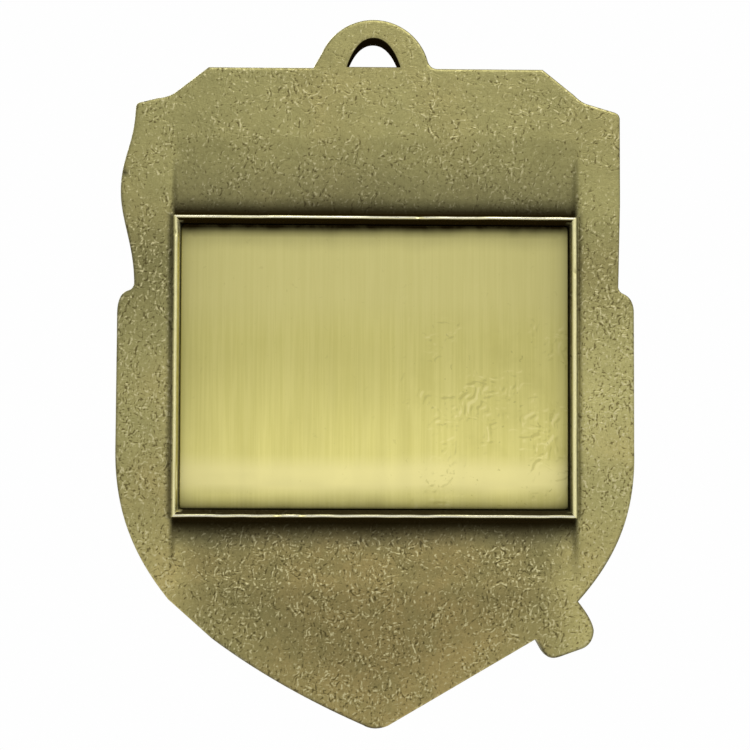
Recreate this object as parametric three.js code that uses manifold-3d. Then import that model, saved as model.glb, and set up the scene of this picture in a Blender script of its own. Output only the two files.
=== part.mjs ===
// Shield-shaped award medal: a die-cast body with its hanging loop, a brushed engraving plate
// in the framed recess on the back, and the adhesive film that holds the plate.
//
// Millimetres, +Z up. The medal hangs in the XZ plane with its plain back towards -Y and its
// relief towards +Y. The origin is the hanging point: the top of the loop's eye, halfway
// through the loop's thickness. Outlines are drawn as seen from the back, +X to the right.

import * as THREE from 'three';
import { mergeVertices } from 'three/addons/utils/BufferGeometryUtils.js';
import Module from 'manifold-3d';

// Overall depths, measured along Y.
const BACK_Y = -1.75; // plain back
const LOOP_FRONT_Y = 1.75;
const BORDER_Y = 2.0; // top of the raised border on the front
const FIELD_Y = 1.2; // sunk field inside that border
const EDGE_ROUND = 0.25; // rounding of the casting's outer edges

// Hanging loop.
const LOOP_X = -0.25;
const LOOP_RADIUS = 5.8;
const LOOP_DROP = 3.85; // centre of the loop's arc below the hanging point
const LOOP_ARC = [0.25, Math.PI - 0.42]; // where the arc starts on the right and ends
const LOOP_FEET = [-6.2, 6.6]; // where its sides meet the shield's top edge, from LOOP_X
const LOOP_FILLET_X = 5.9; // control point of the fillet at its right foot, from LOOP_X
const LOOP_STEP_RISE = 0.4; // from the shield's top edge up to where the loop gets thinner
const EYE_HALF = 2.75;
const EYE_HEIGHT = 3.0;
const EYE_SHOULDER = 1.75; // where the eye's curves are widest under its top

// Shield.
const TOP_Z = -3.1;
const TOP_HALF = 17.2;
const UPPER_RIGHT = 25.2; // right side above the shoulder
const LOWER_RIGHT = 26.6; // right side below it
const LOWER_LEFT = -26.4;
const SHOULDER_Z = -27.4;
const BELLY_Z = -42.5; // where the sides start to curve in
const TIP_Z = -70.9;

// Framed recess on the back.
const FRAME_Z = -33.85; // its centre
const FRAME_Y = -2.05; // top of the rim
const RIM_OUTER = [41.4, 31.0];
const RIM_FOOT = [41.9, 31.5];
const MOUTH = [40.4, 30.0];
const RECESS_FLOOR = [40.0, 29.5];
const RECESS_Y = -0.55; // recess floor
const RIM_FOOT_Y = -0.75; // bottom of the sloping pockets above and below the rim
const POCKET_HALF = 20.85;
const POCKET_TOP_Z = -10.4; // where the upper slope starts
const POCKET_END_Z = -57.0; // where the lower slope ends

// Engraving plate and its film.
const PLATE = [39.8, 29.2];
const PLATE_THICK = 0.5;
const PLATE_CORNER = 0.4;
const FILM = [38.6, 28.0];
const FILM_THICK = 0.1;
const FILM_CORNER = 1.0;
const REST_GAP = 0.01; // between faces that rest on each other
const CLEAR = 1; // how far a cutting solid runs past what it cuts

// Relief on the front.
const RELIEF_ROOT_Y = 0.9; // relief pieces start below the field so that they join it
const TORCH_Y = 2.45;
const BANNER_Y = 2.0;
const LEAF_Y = 1.85;
const STAR_Y = 1.85;
const TORCH_BUTT = [19.7, -60.7]; // centre of the butt that stands out of the outline
const TORCH_TILT = Math.PI / 4; // the torch leans 45 degrees
const BANNER_RADIUS = [38.2, 45.0];
const BANNER_CENTRE_Z = -8.5;
const BANNER_SWEEP = 0.44; // half angle
const WREATH_CENTRE_Z = -37.0;
const WREATH_RADII = [18.2, 20.0];
const WREATH_START = -1.34; // angle of the lowest leaf on the right-hand branch
const WREATH_STEP = 0.19;
const LEAF_PAIRS = 10;
const LEAF = [5.8, 2.5]; // length and width
const STARS = [[0, -10.4, 3.6], [9.6, -10.4, 2.7], [-9.6, -10.4, 2.7]]; // x, z and radius

const wasm = await Module();
wasm.setup();

function solid(geometry) {
  const bare = geometry.clone();
  bare.deleteAttribute('normal');
  bare.deleteAttribute('uv');
  const merged = mergeVertices(bare, 1e-4);
  return new wasm.Manifold(new wasm.Mesh({
    numProp: 3,
    vertProperties: new Float32Array(merged.attributes.position.array),
    triVerts: new Uint32Array(merged.index.array),
  }));
}

function geometryOf(manifold) {
  const { vertProperties, triVerts } = manifold.getMesh();
  const geometry = new THREE.BufferGeometry();
  geometry.setAttribute('position', new THREE.BufferAttribute(vertProperties, 3));
  geometry.setIndex(new THREE.BufferAttribute(triVerts, 1));
  geometry.computeVertexNormals();
  return geometry;
}

// A shape drawn in X and Z, given thickness from backY to frontY, with rounded edges.
function slab(shape, backY, frontY, round = 0, curveSegments = 8) {
  const geometry = new THREE.ExtrudeGeometry(shape, {
    depth: frontY - backY - 2 * round,
    bevelEnabled: round > 0,
    bevelThickness: round,
    bevelSize: round,
    bevelOffset: -round,
    bevelSegments: 2,
    curveSegments,
  });
  geometry.rotateX(Math.PI / 2);
  geometry.translate(0, frontY - round, 0);
  return geometry;
}

// A block with drafted sides: size [x, z] at nearY and at farY.
function draftedBlock(nearSize, nearY, farSize, farY) {
  const block = new THREE.BoxGeometry(1, 1, 1);
  const corners = block.attributes.position;
  for (let i = 0; i < corners.count; i += 1) {
    const near = corners.getY(i) < 0;
    const [width, height] = near ? nearSize : farSize;
    const y = near ? nearY : farY;
    corners.setXYZ(i, corners.getX(i) * width, y, corners.getZ(i) * height + FRAME_Z);
  }
  return block;
}

// The silhouette of the casting, with the loop, the flame's bulge and the torch's butt.
function medalOutline() {
  const outline = new THREE.Shape();
  outline.moveTo(LOOP_X + LOOP_FEET[0], TOP_Z);
  outline.lineTo(-TOP_HALF, TOP_Z);
  // Upper left corner: a slanting cut that flattens out to a pointed tip.
  outline.lineTo(-20.4, -5.6);
  outline.quadraticCurveTo(-21.2, -6.25, -22.4, -6.35);
  outline.lineTo(-24.35, -6.85);
  outline.quadraticCurveTo(-24.65, -6.95, -24.65, -7.6);
  // The flame bulges over the left side.
  outline.bezierCurveTo(-24.8, -11.2, -26.1, -12.6, -26.1, -15.9);
  outline.bezierCurveTo(-26.1, -19.0, -24.7, -21.4, -24.65, -25.4);
  // Left shoulder and side.
  outline.quadraticCurveTo(-24.65, -26.0, -25.3, -26.2);
  outline.quadraticCurveTo(-26.3, -26.5, -26.35, SHOULDER_Z - 1);
  outline.lineTo(LOWER_LEFT, BELLY_Z);
  outline.bezierCurveTo(-26.4, -48.6, -24.5, -53.2, -20.9, -57.6);
  outline.lineTo(-16.5, -61.5);
  outline.quadraticCurveTo(-9.9, -66.4, -1.1, -70.25);
  // Rounded tip.
  outline.quadraticCurveTo(0, TIP_Z, 1.4, -70.35);
  outline.lineTo(16.5, -61.55);
  // Butt of the torch, with a small notch on either side.
  outline.lineTo(17.2, -62.8);
  outline.quadraticCurveTo(17.7, -63.75, 18.9, -63.35);
  outline.lineTo(21.0, -62.6);
  outline.quadraticCurveTo(22.3, -62.2, 22.4, -60.7);
  outline.quadraticCurveTo(22.3, -59.6, 20.8, -57.75);
  // Right side and shoulder.
  outline.bezierCurveTo(24.9, -53.2, 26.7, -48.6, LOWER_RIGHT, BELLY_Z);
  outline.lineTo(LOWER_RIGHT, SHOULDER_Z - 0.6);
  outline.quadraticCurveTo(26.5, -26.7, 25.6, -26.3);
  outline.quadraticCurveTo(25.05, -26.1, 25.0, -25.6);
  outline.lineTo(UPPER_RIGHT, -17.0);
  outline.lineTo(UPPER_RIGHT, -8.1);
  // Upper right corner.
  outline.quadraticCurveTo(25.15, -7.65, 24.7, -7.5);
  outline.lineTo(22.0, -6.7);
  outline.quadraticCurveTo(21.2, -6.5, 20.5, -5.75);
  outline.lineTo(TOP_HALF, TOP_Z);
  outline.lineTo(LOOP_X + LOOP_FEET[1], TOP_Z);
  // The loop: a fillet, an arc over the top and a straight foot on the left.
  const [arcStart, arcEnd] = LOOP_ARC;
  const arcStartX = LOOP_X + LOOP_RADIUS * Math.cos(arcStart);
  const arcStartZ = -LOOP_DROP + LOOP_RADIUS * Math.sin(arcStart);
  outline.quadraticCurveTo(LOOP_X + LOOP_FILLET_X, TOP_Z, arcStartX, arcStartZ);
  outline.absarc(LOOP_X, -LOOP_DROP, LOOP_RADIUS, arcStart, arcEnd, false);
  outline.closePath();
  return outline;
}

// The D-shaped eye that a ring or ribbon passes through.
function eyeShape() {
  const eye = new THREE.Shape();
  eye.moveTo(LOOP_X - EYE_HALF, -EYE_HEIGHT);
  eye.lineTo(LOOP_X + EYE_HALF, -EYE_HEIGHT);
  eye.quadraticCurveTo(LOOP_X + EYE_SHOULDER, 0, LOOP_X, 0);
  eye.quadraticCurveTo(LOOP_X - EYE_SHOULDER, 0, LOOP_X - EYE_HALF, -EYE_HEIGHT);
  return eye;
}

// The sunk field on the front, a border's width inside the silhouette.
function fieldShape() {
  const side = [
    [16.5, -4.7], [20.2, -7.4], [23.2, -8.9], [23.3, -26.6], [24.8, -28.2], [24.8, -42.5],
  ];
  const field = new THREE.Shape();
  field.moveTo(-side[0][0], side[0][1]);
  side.forEach(([x, z]) => field.lineTo(x, z));
  field.bezierCurveTo(24.8, -48.2, 23.0, -52.6, 19.7, -56.6);
  field.lineTo(15.2, -60.5);
  field.lineTo(0, -68.8);
  field.lineTo(-15.2, -60.5);
  field.lineTo(-19.7, -56.6);
  field.bezierCurveTo(-23.0, -52.6, -24.8, -48.2, -24.8, -42.5);
  side.slice(1, -1).reverse().forEach(([x, z]) => field.lineTo(-x, z));
  field.closePath();
  return field;
}

// Room cut away in front of the loop, which is thinner than the shield's border.
function loopStep() {
  const stepZ = TOP_Z + LOOP_STEP_RISE;
  const step = new THREE.BoxGeometry(2 * TOP_HALF, CLEAR, LOOP_RADIUS);
  step.translate(0, LOOP_FRONT_Y + CLEAR / 2, stepZ + LOOP_RADIUS / 2);
  return solid(step);
}

// Slopes above and below the frame, about as wide as the frame.
function pocketSolid() {
  const rimTop = FRAME_Z + RIM_FOOT[1] / 2;
  const rimBottom = FRAME_Z - RIM_FOOT[1] / 2;
  const profile = new THREE.Shape();
  profile.moveTo(-POCKET_TOP_Z, BACK_Y);
  profile.lineTo(-rimTop, RIM_FOOT_Y);
  profile.lineTo(-rimBottom, RIM_FOOT_Y);
  profile.lineTo(-POCKET_END_Z, BACK_Y);
  profile.lineTo(-POCKET_END_Z, BACK_Y - CLEAR);
  profile.lineTo(-POCKET_TOP_Z, BACK_Y - CLEAR);
  profile.closePath();
  const pocket = new THREE.ExtrudeGeometry(profile, { depth: 2 * POCKET_HALF, bevelEnabled: false });
  pocket.rotateY(Math.PI / 2);
  pocket.translate(-POCKET_HALF, 0, 0);
  return solid(pocket);
}

// Turns a shape drawn along +Y from the torch's butt to the way the torch leans.
function torchSlab(shape, frontY, round) {
  const geometry = slab(shape, RELIEF_ROOT_Y, frontY, round, 6);
  geometry.rotateY(-TORCH_TILT);
  geometry.translate(TORCH_BUTT[0], 0, TORCH_BUTT[1]);
  return solid(geometry);
}

// Half a torch profile, [distance from the butt, half width], mirrored into a closed shape.
function mirroredShape(profile) {
  const shape = new THREE.Shape();
  profile.forEach(([along, half], i) => (i ? shape.lineTo(half, along) : shape.moveTo(half, along)));
  [...profile].reverse().forEach(([along, half]) => shape.lineTo(-half, along));
  shape.closePath();
  return shape;
}

function torchHandle() {
  const handle = mirroredShape([[-1.6, 1.9], [1.4, 2.2], [3.2, 1.5], [36.5, 2.6]]);
  return torchSlab(handle, TORCH_Y - 0.25, 0.5);
}

function torchRings() {
  return [5.0, 15.0, 25.0, 35.6].map((along) => {
    const half = 1.9 + 0.034 * along;
    return torchSlab(mirroredShape([[along, half], [along + 1.3, half]]), TORCH_Y, 0.3);
  });
}

function torchCup() {
  const cup = mirroredShape([[36.5, 2.6], [39.0, 4.6], [42.2, 5.7], [43.8, 5.7]]);
  return torchSlab(cup, TORCH_Y, 0.4);
}

// The fire: a low outer flame whose edge is the bulge on the left side of the silhouette,
// and a taller tongue inside it.
function flames() {
  const outer = new THREE.Shape();
  outer.moveTo(-7.6, -26.0);
  outer.bezierCurveTo(-5.4, -21.0, -9.9, -19.0, -10.6, -14.6);
  outer.bezierCurveTo(-12.9, -16.6, -13.7, -18.6, -13.3, -20.8);
  outer.bezierCurveTo(-16.8, -17.8, -19.4, -13.2, -18.9, -8.3);
  outer.bezierCurveTo(-23.4, -10.6, -26.0, -13.2, -26.0, -16.4);
  outer.bezierCurveTo(-26.0, -20.4, -22.2, -31.2, -15.2, -33.6);
  outer.closePath();
  const tongue = new THREE.Shape();
  tongue.moveTo(-10.4, -28.8);
  tongue.bezierCurveTo(-9.2, -23.8, -17.2, -21.6, -18.6, -13.8);
  tongue.bezierCurveTo(-22.8, -17.0, -21.0, -27.0, -13.6, -32.0);
  tongue.closePath();
  return [
    solid(slab(outer, RELIEF_ROOT_Y, TORCH_Y - 0.45, 0.3, 10)),
    solid(slab(tongue, RELIEF_ROOT_Y, TORCH_Y, 0.4, 10)),
  ];
}

// A blank arched banner under the middle of the shield.
function banner() {
  const [inner, outer] = BANNER_RADIUS;
  const down = -Math.PI / 2;
  const shape = new THREE.Shape();
  shape.absarc(0, BANNER_CENTRE_Z, outer, down - BANNER_SWEEP, down + BANNER_SWEEP, false);
  shape.absarc(0, BANNER_CENTRE_Z, inner, down + BANNER_SWEEP, down - BANNER_SWEEP, true);
  shape.closePath();
  return solid(slab(shape, RELIEF_ROOT_Y, BANNER_Y, 0.2, 12));
}

function leaf(x, z, angle) {
  const [length, width] = LEAF;
  const shape = new THREE.Shape();
  shape.moveTo(0, 0);
  shape.quadraticCurveTo(width, length * 0.45, 0, length);
  shape.quadraticCurveTo(-width, length * 0.45, 0, 0);
  const geometry = slab(shape, RELIEF_ROOT_Y, LEAF_Y, 0.25, 5);
  geometry.rotateY(-angle);
  geometry.translate(x, 0, z);
  return solid(geometry);
}

// Two laurel branches, each a row of paired leaves along an ellipse.
function wreath() {
  const leaves = [];
  for (const side of [1, -1]) {
    for (let i = 0; i < LEAF_PAIRS; i += 1) {
      const turn = WREATH_START + i * WREATH_STEP;
      const x = side * WREATH_RADII[0] * Math.cos(turn);
      const z = WREATH_CENTRE_Z + WREATH_RADII[1] * Math.sin(turn);
      const along = side * turn;
      leaves.push(leaf(x, z, along - side * 0.5), leaf(x, z, along + side * 0.5));
    }
  }
  return leaves;
}

function star(x, z, radius) {
  const shape = new THREE.Shape();
  for (let i = 0; i < 10; i += 1) {
    const r = i % 2 ? radius * 0.42 : radius;
    const turn = Math.PI / 2 + (i * Math.PI) / 5;
    const point = [x + r * Math.cos(turn), z + r * Math.sin(turn)];
    if (i) shape.lineTo(...point);
    else shape.moveTo(...point);
  }
  shape.closePath();
  return solid(slab(shape, RELIEF_ROOT_Y, STAR_Y, 0.2));
}

function stars() {
  return STARS.map(([x, z, radius]) => star(x, z, radius));
}

function medalCasting() {
  const eye = solid(slab(eyeShape(), BACK_Y - CLEAR, BORDER_Y + CLEAR));
  const field = solid(slab(fieldShape(), FIELD_Y, BORDER_Y + CLEAR));
  const rim = solid(draftedBlock(RIM_OUTER, FRAME_Y, RIM_FOOT, RECESS_Y));
  const recess = solid(draftedBlock(MOUTH, FRAME_Y - 0.001, RECESS_FLOOR, RECESS_Y));
  const relief = [
    ...wreath(), ...stars(), banner(), torchHandle(), ...torchRings(), torchCup(), ...flames(),
  ];
  let casting = solid(slab(medalOutline(), BACK_Y, BORDER_Y, EDGE_ROUND, 10));
  casting = casting.subtract(eye).subtract(loopStep()).subtract(field);
  casting = casting.subtract(pocketSolid()).add(rim).subtract(recess);
  relief.forEach((piece) => {
    casting = casting.add(piece);
  });
  return geometryOf(casting);
}

function roundedRectangle([width, height], radius) {
  const [x, z] = [width / 2 - radius, height / 2 - radius];
  const quarter = Math.PI / 2;
  const shape = new THREE.Shape();
  [[x, z], [-x, z], [-x, -z], [x, -z]].forEach(([cx, cz], i) => {
    shape.absarc(cx, FRAME_Z + cz, radius, i * quarter, (i + 1) * quarter, false);
  });
  shape.closePath();
  return shape;
}

function adhesiveFilm() {
  const restY = RECESS_Y - REST_GAP;
  return slab(roundedRectangle(FILM, FILM_CORNER), restY - FILM_THICK, restY, 0, 6);
}

function engravingPlate() {
  const restY = RECESS_Y - 2 * REST_GAP - FILM_THICK;
  return slab(roundedRectangle(PLATE, PLATE_CORNER), restY - PLATE_THICK, restY, 0.08, 6);
}

function piece(name, geometry, colour, roughness, metalness) {
  const material = new THREE.MeshStandardMaterial({ color: colour, roughness, metalness });
  const mesh = new THREE.Mesh(geometry, material);
  mesh.name = name;
  return mesh;
}

const medal = new THREE.Group();
medal.add(piece('medal_casting', medalCasting(), 0x9a945e, 0.5, 1));
medal.add(piece('engraving_plate', engravingPlate(), 0xc2bb76, 0.32, 1));
medal.add(piece('adhesive_film', adhesiveFilm(), 0xe6e2d4, 0.6, 0));

export default medal;
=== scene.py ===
"""Shield-shaped award medal: the detailed casting, brushed plate and film around the CAD frame.

The medal hangs in the XZ plane with its plain back towards -Y. Shapes are worked out in
millimetres from the hanging point and turned into metres when a mesh is made.
"""

import math
from collections import namedtuple

import bpy
import numpy as np
from mathutils import Matrix, Vector
from mathutils.geometry import delaunay_2d_cdt


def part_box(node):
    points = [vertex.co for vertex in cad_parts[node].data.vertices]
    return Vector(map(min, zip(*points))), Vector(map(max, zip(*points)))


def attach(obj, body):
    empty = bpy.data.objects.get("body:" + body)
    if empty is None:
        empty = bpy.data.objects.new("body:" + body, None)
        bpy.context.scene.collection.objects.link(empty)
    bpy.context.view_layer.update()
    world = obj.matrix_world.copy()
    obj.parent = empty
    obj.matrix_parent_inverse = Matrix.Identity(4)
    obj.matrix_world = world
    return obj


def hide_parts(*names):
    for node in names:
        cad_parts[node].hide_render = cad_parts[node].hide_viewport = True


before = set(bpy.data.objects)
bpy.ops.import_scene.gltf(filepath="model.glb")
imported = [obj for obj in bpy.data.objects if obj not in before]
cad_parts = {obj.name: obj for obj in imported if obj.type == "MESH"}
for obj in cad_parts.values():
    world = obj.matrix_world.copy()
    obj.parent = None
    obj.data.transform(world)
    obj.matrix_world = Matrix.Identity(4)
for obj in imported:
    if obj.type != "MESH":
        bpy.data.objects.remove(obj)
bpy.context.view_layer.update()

MM = 0.001

# Depths along Y, in millimetres. They repeat the CAD part's.
BACK_Y = -1.75
LOOP_FRONT_Y = 1.75
BORDER_Y = 2.0
FIELD_Y = 1.2
RIM_Y = -2.05
POCKET_Y = -0.75
RECESS_Y = -0.55
EDGE_RADIUS = 0.26
EYE_EDGE_RADIUS = 0.06

# Framed recess and pockets.
FRAME_Z = -33.85  # its centre
RIM_HALF = (20.45, 15.25)  # middle line of the rim
SIDE_LEAN = 1.7  # how much steeper the recess's left and right walls are than the others
RIM_HALF_WIDTH = 0.25
RECESS_REACH = -0.62  # where the recess's floor starts, from the rim's middle line
FOOT_REACH = 0.53  # where the rim's outer foot ends
RIM_CORNER = -0.1  # corner radius on the middle line; below 0 the rim stays sharp further out
EDGE_NICK = (-25.65, -14.1)  # where a small dark spot is painted on the outline; the outline itself is not cut
RIM_NICKS = [(-20.45, -20.2), (4.6, -18.6), (-9.8, -49.1), (-7.3, -49.1), (20.45, -24.0)]
POCKET_HALF = 20.85
POCKET_MIDDLE_Z = -33.0  # middle of the mesh lines along the pockets' sides
POCKET_RAMP = (-10.4, FRAME_Z + 15.8, FRAME_Z - 15.8, -57.0)  # the slopes' starts and ends

# Loop and eye.
LOOP_X, LOOP_RADIUS, LOOP_DROP = -0.25, 5.8, 3.85
LOOP_ARC = (0.25, math.pi - 0.42)  # where the arc starts on the right and ends
LOOP_FEET = (-6.2, 6.6)  # where its sides meet the top edge, from LOOP_X
LOOP_FILLET_X = 5.9  # control point of the fillet at its right foot, from LOOP_X
EYE_HALF, EYE_HEIGHT, EYE_SHOULDER = 2.75, 3.0, 1.75
EYE_STEP = 0.2
TOP_Z = -3.1  # the shield's top edge
TOP_HALF = 17.2

# Relief on the front.
BUTT = np.array([19.7, -60.7])  # centre of the torch's butt
TORCH_AXIS = np.array([-1.0, 1.0]) / math.sqrt(2)
TORCH_SIDE = np.array([1.0, 1.0]) / math.sqrt(2)
TORCH_ENDS = (-1.9, 43.9)  # along the torch from the butt's centre
TORCH_MOUTH = np.array([-11.3, -29.7])  # where the flame and the field's rays spring from
WREATH_CENTRE_Z = -37.0
WREATH_RADII = (18.2, 20.0)
WREATH_START, WREATH_STEP, LEAF_PAIRS = -1.34, 0.19, 10
LEAF_TURN = 0.5  # how far each leaf turns away from the stem
LEAF_LENGTH, LEAF_WIDTH = 5.8, 2.5
BANNER_RADII = (38.2, 45.0)
BANNER_CENTRE_Z, BANNER_SWEEP = -8.5, 0.44
STARS = [(0, -10.4, 3.6), (9.6, -10.4, 2.7), (-9.6, -10.4, 2.7)]  # x, z and radius

PARTING_RIDGE = 0.035  # how far the mould line stands out of the side wall

# Mesh fineness, in millimetres.
OUTLINE_STEP = 0.3
BACK_STEP = 0.42
FRONT_STEP = 0.26
SLIVER = 1e-4  # triangles whose middle is nearer than this to an edge are left out


# ---------------------------------------------------------------- outlines

class Path:
    """An outline in X and Z made of lines, curves and arcs, sampled at an even step."""

    def __init__(self, x, z, step=OUTLINE_STEP):
        self.points = [(x, z)]
        self.step = step

    def _add(self, curve, length):
        count = max(2, round(length / self.step))
        self.points += [curve(i / count) for i in range(1, count + 1)]

    def line(self, x, z):
        a, b = np.array(self.points[-1]), np.array((x, z))
        self._add(lambda t: tuple(a + (b - a) * t), np.linalg.norm(b - a))
        return self

    def curve(self, *controls):
        hull = [np.array(self.points[-1])] + [np.array(c) for c in controls]
        length = sum(np.linalg.norm(q - p) for p, q in zip(hull, hull[1:]))

        def at(t):
            level = hull
            while len(level) > 1:
                level = [p + (q - p) * t for p, q in zip(level, level[1:])]
            return tuple(level[0])

        self._add(at, length)
        return self

    def arc(self, x, z, radius, start, end):
        def at(t):
            turn = start + (end - start) * t
            return (x + radius * math.cos(turn), z + radius * math.sin(turn))

        self.line(*at(0))
        self._add(at, abs(end - start) * radius)
        return self

    def closed(self):
        kept = []
        for p in self.points:
            if not kept or math.dist(p, kept[-1]) > 0.3 * self.step:
                kept.append(p)
        if math.dist(kept[0], kept[-1]) < 0.3 * self.step:
            kept.pop()
        return np.array(kept)


def medal_outline():
    """The shield with its loop, from the loop's left foot round by the left side."""
    left_foot, right_foot = (LOOP_X + foot for foot in LOOP_FEET)
    path = Path(left_foot, TOP_Z)
    path.line(-TOP_HALF, TOP_Z).line(-20.4, -5.6).curve((-21.2, -6.25), (-22.4, -6.35))
    path.line(-24.35, -6.85).curve((-24.65, -6.95), (-24.65, -7.6))
    path.curve((-24.8, -11.2), (-26.1, -12.6), (-26.1, -15.9))
    path.curve((-26.1, -19.0), (-24.7, -21.4), (-24.65, -25.4))
    path.curve((-24.65, -26.0), (-25.3, -26.2)).curve((-26.3, -26.5), (-26.35, -28.4))
    path.line(-26.4, -42.5).curve((-26.4, -48.6), (-24.5, -53.2), (-20.9, -57.6))
    path.line(-16.5, -61.5).curve((-9.9, -66.4), (-1.1, -70.25))
    path.curve((0, -70.9), (1.4, -70.35)).line(16.5, -61.55)
    path.line(17.2, -62.8).curve((17.7, -63.75), (18.9, -63.35))
    path.line(21.0, -62.6).curve((22.3, -62.2), (22.4, -60.7))
    path.curve((22.3, -59.6), (20.8, -57.75))
    path.curve((24.9, -53.2), (26.7, -48.6), (26.6, -42.5)).line(26.6, -28.0)
    path.curve((26.5, -26.7), (25.6, -26.3)).curve((25.05, -26.1), (25.0, -25.6))
    path.line(25.2, -17.0).line(25.2, -8.1).curve((25.15, -7.65), (24.7, -7.5)).line(22.0, -6.7)
    path.curve((21.2, -6.5), (20.5, -5.75)).line(TOP_HALF, TOP_Z).line(right_foot, TOP_Z)
    start, end = LOOP_ARC
    arc_start = (
        LOOP_X + LOOP_RADIUS * math.cos(start),
        -LOOP_DROP + LOOP_RADIUS * math.sin(start),
    )
    path.curve((LOOP_X + LOOP_FILLET_X, TOP_Z), arc_start)
    path.arc(LOOP_X, -LOOP_DROP, LOOP_RADIUS, start, end)
    path.line(left_foot, TOP_Z)
    return path.closed()


def eye_outline():
    """The D-shaped eye: a flat foot under an arch."""
    left, right = LOOP_X - EYE_HALF, LOOP_X + EYE_HALF
    path = Path(left, -EYE_HEIGHT, EYE_STEP)
    path.line(right, -EYE_HEIGHT).curve((LOOP_X + EYE_SHOULDER, 0), (LOOP_X, 0))
    path.curve((LOOP_X - EYE_SHOULDER, 0), (left, -EYE_HEIGHT))
    return path.closed()


def field_outline():
    """The sunk field on the front."""
    side = [(16.5, -4.7), (20.2, -7.4), (23.2, -8.9), (23.3, -26.6), (24.8, -28.2), (24.8, -42.5)]
    path = Path(-16.5, -4.7)
    for x, z in side:
        path.line(x, z)
    path.curve((24.8, -48.2), (23.0, -52.6), (19.7, -56.6)).line(15.2, -60.5).line(0, -68.8)
    path.line(-15.2, -60.5).line(-19.7, -56.6)
    path.curve((-23.0, -52.6), (-24.8, -48.2), (-24.8, -42.5))
    for x, z in side[-2::-1]:
        path.line(-x, z)
    return path.closed()


# ---------------------------------------------------------------- distances

def edge_distance(points, polygon, reach=1.0):
    """Distance to an outline, positive inside and negative outside, cut off at the reach."""
    start, end = polygon, np.roll(polygon, -1, axis=0)
    low = np.minimum(start[:, 1], end[:, 1]) - reach
    high = np.maximum(start[:, 1], end[:, 1]) + reach
    result = np.full(len(points), -reach)
    order = np.argsort(points[:, 1])
    for part in np.array_split(order, len(points) // 600 + 1):
        p = points[part, None, :]
        near = (low < p[..., 1].max()) & (high > p[..., 1].min())
        if not near.any():
            continue
        first, along = start[near], (end - start)[near]
        length2 = np.maximum((along ** 2).sum(1), 1e-12)
        t = np.clip(((p - first) * along).sum(2) / length2, 0, 1)
        gap = p - (first + t[..., None] * along)
        nearest = np.minimum(np.sqrt((gap ** 2).sum(2).min(1)), reach)
        above = (first[:, 1] > p[..., 1]) != (end[near][:, 1] > p[..., 1])
        rise = np.where(np.abs(along[:, 1]) < 1e-12, 1e-12, along[:, 1])
        crossing = first[:, 0] + (p[..., 1] - first[:, 1]) * along[:, 0] / rise
        inside = (above & (p[..., 0] < crossing)).sum(1) % 2 == 1
        result[part] = np.where(inside, nearest, -nearest)
    return result


def smooth(low, high, value):
    """0 at low, 1 at high, with an even slope between; low may be the larger."""
    t = np.clip((value - low) / (high - low), 0, 1)
    return t * t * (3 - 2 * t)


def rough(points, wavelength, seed, octaves=1):
    """Smooth noise between -1 and 1 at a wavelength in millimetres."""
    total, size = np.zeros(len(points)), 256
    for octave in range(octaves):
        table = np.random.default_rng(seed * 10 + octave).uniform(-1, 1, (size, size))
        place = points / wavelength * 2 ** octave + size / 2
        cell = np.floor(place).astype(int)
        fx, fz = smooth(0, 1, place - cell).T
        x, z = (cell % size).T
        right, top = (x + 1) % size, (z + 1) % size
        below = table[x, z] * (1 - fx) + table[right, z] * fx
        over = table[x, top] * (1 - fx) + table[right, top] * fx
        total += (below * (1 - fz) + over * fz) * 0.5 ** octave
    return total


def near_spot(points, spot, spread):
    """1 at one place, falling to 0 round it."""
    return np.exp(-((points - spot) ** 2).sum(1) / spread)


def rim_distance(points):
    """Distance from the rim's middle line: positive outside, stretched on the steep walls."""
    q = np.abs(points - (0, FRAME_Z)) - RIM_HALF
    past_lip = np.minimum(q[:, 0] + RIM_HALF_WIDTH, 0)
    q[:, 0] += past_lip * (SIDE_LEAN - 1)
    q += RIM_CORNER
    outside = np.sqrt((np.maximum(q, 0) ** 2).sum(1))
    return outside + np.minimum(q.max(1), 0) - RIM_CORNER


def rim_line(distance):
    """The closed line at one rim distance."""
    past_lip = min(distance + RIM_HALF_WIDTH, 0)
    half_x = RIM_HALF[0] + distance + past_lip * (1 / SIDE_LEAN - 1)
    return box_line(half_x, RIM_HALF[1] + distance, FRAME_Z, max(RIM_CORNER + distance, 0.05), 0.5)


# ---------------------------------------------------------------- the plain back

RIM_PROFILE = (  # distance from the rim's middle line, Y of the surface
    (RECESS_REACH, RECESS_Y), (-0.60, -1.05), (-0.54, -1.25), (-0.40, -1.6), (-0.28, -1.88),
    (-0.2, -1.98), (-0.1, -2.035), (0.0, RIM_Y), (0.1, -2.035), (0.2, -1.97), (0.28, -1.84),
    (0.36, -1.5), (0.45, -1.0), (FOOT_REACH, POCKET_Y),
)
RIM_RINGS = (  # distances from the rim's middle line where the mesh has a row of points
    RECESS_REACH, -0.6, -0.54, -0.47, -0.4, -0.34, -0.28, -0.22, -0.17, -0.12, -0.06,
    0, 0.06, 0.12, 0.17, 0.22, 0.28, 0.36, 0.45, FOOT_REACH,
)


def pocket_surface(points):
    """Y of the back with its two sloping pockets, deepest beside the frame."""
    x, z = np.abs(points[:, 0]), points[:, 1]
    start, deep_top, deep_bottom, end = POCKET_RAMP
    fall = np.interp(z, [end, deep_bottom, deep_top, start], [0, 1, 1, 0])
    soft = smooth(end - 0.5, end + 2.0, z) * smooth(start + 0.5, start - 2.0, z)
    side = smooth(POCKET_HALF + 0.1, POCKET_HALF - 0.7, x)
    return BACK_Y + (POCKET_Y - BACK_Y) * fall * soft ** 0.5 * side


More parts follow.
